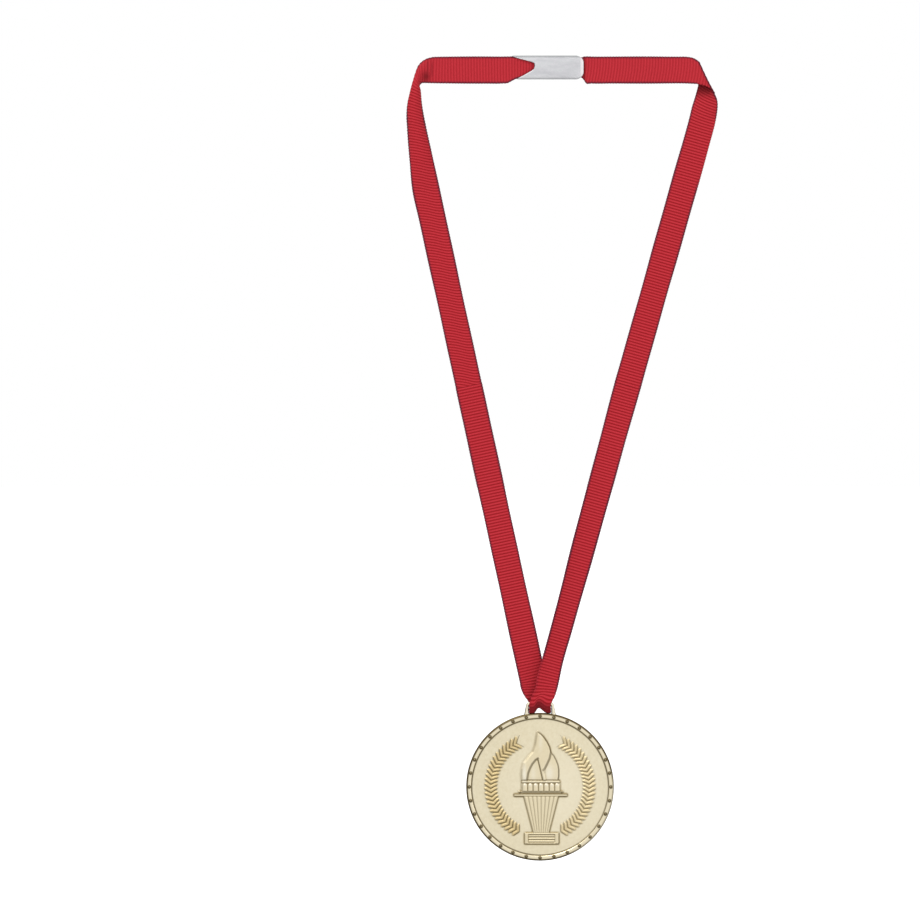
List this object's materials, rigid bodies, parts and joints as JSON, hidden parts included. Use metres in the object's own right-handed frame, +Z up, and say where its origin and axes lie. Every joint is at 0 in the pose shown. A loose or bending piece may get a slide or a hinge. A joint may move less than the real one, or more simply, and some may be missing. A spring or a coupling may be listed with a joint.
{
  "type": "award medal on a neck ribbon",
  "caption": "Round award medal with a torch and laurel relief, hung by its cast bail on a looped half-inch neck ribbon that a flat sleeve closes.",
  "frame": {"origin": "centre of the disc's flat back face", "axes": "+X to the viewer's right with the medal facing the viewer, +Y straight out of the disc's back, +Z up the ribbon towards the neck band"},
  "size_m": [0.1475, 0.0048, 0.3815],
  "materials": {
    "gold_plate": "pale gold plate, satin field, polished rim and relief",
    "ribbon_grosgrain": "ribbed red grosgrain with dark woven edges",
    "satin_silver": "smooth satin silver grey"
  },
  "bodies": {
    "neck_band": {"neck_ribbon_left": "ribbon_grosgrain", "neck_ribbon_right": "ribbon_grosgrain", "joining_sleeve": "satin_silver"},
    "straps": {"ribbon_strap_left": "ribbon_grosgrain", "ribbon_strap_right": "ribbon_grosgrain"},
    "bight": {"ribbon_bight": "ribbon_grosgrain"},
    "medal": {"medal_casting": "gold_plate"}
  },
  "joints": [
    {"name": "strap_fold", "type": "hinge", "parent": "neck_band", "child": "straps", "pos_m": [0, -0.0015, 0.331], "axis": [1, 0, 0], "range_deg": [-90, 90]},
    {"name": "bight_sway", "type": "hinge", "parent": "straps", "child": "bight", "pos_m": [0, -0.0015, 0.046], "axis": [0, 1, 0], "range_deg": [-12, 12]},
    {"name": "medal_flip", "type": "hinge", "parent": "bight", "child": "medal", "pos_m": [0, -0.0015, 0.0394], "axis": [1, 0, 0], "range_deg": [-100, 100]}
  ]
}
